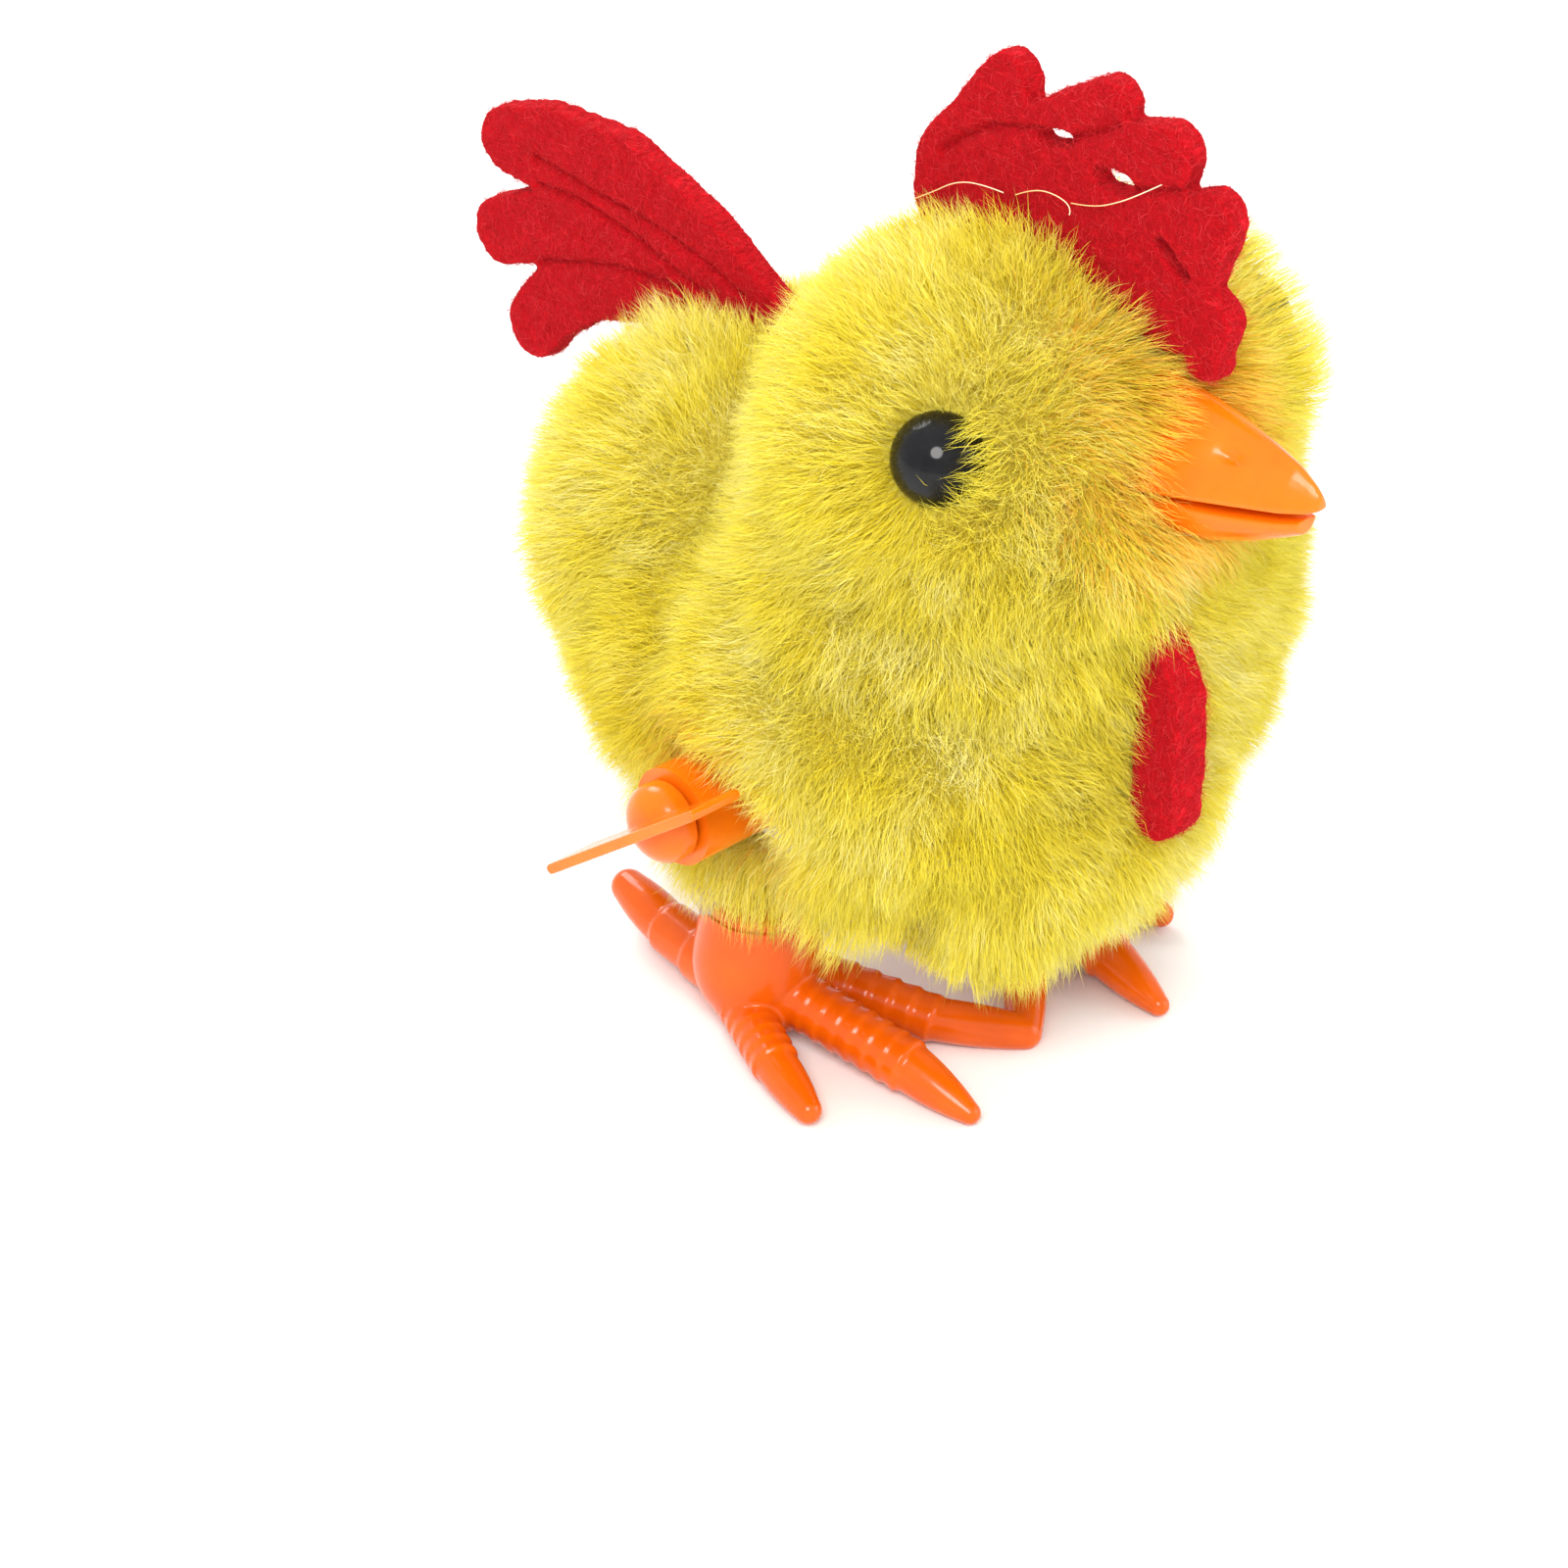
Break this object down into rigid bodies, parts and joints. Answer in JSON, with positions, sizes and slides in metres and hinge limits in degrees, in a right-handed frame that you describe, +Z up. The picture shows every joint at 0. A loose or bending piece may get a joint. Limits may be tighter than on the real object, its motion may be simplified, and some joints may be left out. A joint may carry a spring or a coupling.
{
  "type": "wind-up hopping chicken",
  "caption": "Plush wind-up toy chicken with felt comb and tail, bead eyes, a side key, a geared clockwork case and joined plastic feet that kick so it hops.",
  "frame": {"origin": "on the ground, at the flat sole under the point where the two inner toes join, in the bird's middle plane", "axes": "+Z up, the bird looks along -Y, its right side with the winding key is -X"},
  "size_m": [0.0647, 0.0966, 0.0916],
  "materials": {
    "plush": "lemon-yellow plush pile, soft sheen",
    "stuffing": "white polyester fibre filling",
    "felt": "crimson needle felt, matt",
    "eye": "polished black bead",
    "orange_plastic": "glossy moulded orange plastic, slightly translucent",
    "foot_plastic": "glossy moulded deep orange plastic",
    "white_plastic": "natural white moulded plastic",
    "steel": "bright drawn steel",
    "glue": "clear hot-melt glue"
  },
  "bodies": {
    "body": {"plush_right": "plush", "plush_left": "plush", "stuffing": "stuffing", "comb": "felt", "tail": "felt", "wattle": "felt", "beak": "orange_plastic", "beak_washer": "white_plastic", "eye_right": "eye", "eye_left": "eye", "eye_washer_right": "white_plastic", "eye_washer_left": "white_plastic", "case_right": "white_plastic", "case_left": "white_plastic", "case_screws": "steel", "key_collar": "orange_plastic", "mainspring": "steel", "second_axle": "steel", "escape_axle": "steel", "pallet_axle": "steel", "foot_pivot_pin": "steel", "glue_bead": "glue"},
    "key": {"winding_key": "orange_plastic", "winding_arbor": "steel", "main_gear": "white_plastic"},
    "second_wheel": {"second_gear": "white_plastic"},
    "crank": {"crankshaft": "steel", "crank_gear": "white_plastic", "crank_right": "white_plastic", "crank_left": "white_plastic"},
    "escapement": {"escape_wheel": "white_plastic"},
    "pallet_lever": {"pallet": "white_plastic"},
    "feet": {"feet": "foot_plastic"}
  },
  "joints": [
    {"name": "key_wind", "type": "hinge", "parent": "body", "child": "key", "pos_m": [0, 0.0148, 0.0284], "axis": [1, 0, 0], "continuous": true},
    {"name": "second_spin", "type": "hinge", "parent": "body", "child": "second_wheel", "pos_m": [0, 0.00574, 0.03263], "axis": [1, 0, 0], "continuous": true},
    {"name": "crank_spin", "type": "hinge", "parent": "body", "child": "crank", "pos_m": [0, 0.00544, 0.02413], "axis": [1, 0, 0], "continuous": true},
    {"name": "escape_spin", "type": "hinge", "parent": "body", "child": "escapement", "pos_m": [0, 0.01174, 0.01921], "axis": [1, 0, 0], "continuous": true},
    {"name": "pallet_rock", "type": "hinge", "parent": "body", "child": "pallet_lever", "pos_m": [0, 0.01763, 0.01879], "axis": [1, 0, 0], "range_deg": [-5, 5]},
    {"name": "feet_hop", "type": "hinge", "parent": "body", "child": "feet", "pos_m": [0, 0.0255, 0.018], "axis": [1, 0, 0], "range_deg": [0, 8.2]}
  ],
  "couplings": [
    {"joint": "second_spin", "follows": "key_wind", "ratio": -3},
    {"joint": "crank_spin", "follows": "key_wind", "ratio": 7.2},
    {"joint": "escape_spin", "follows": "key_wind", "ratio": -21.6}
  ]
}
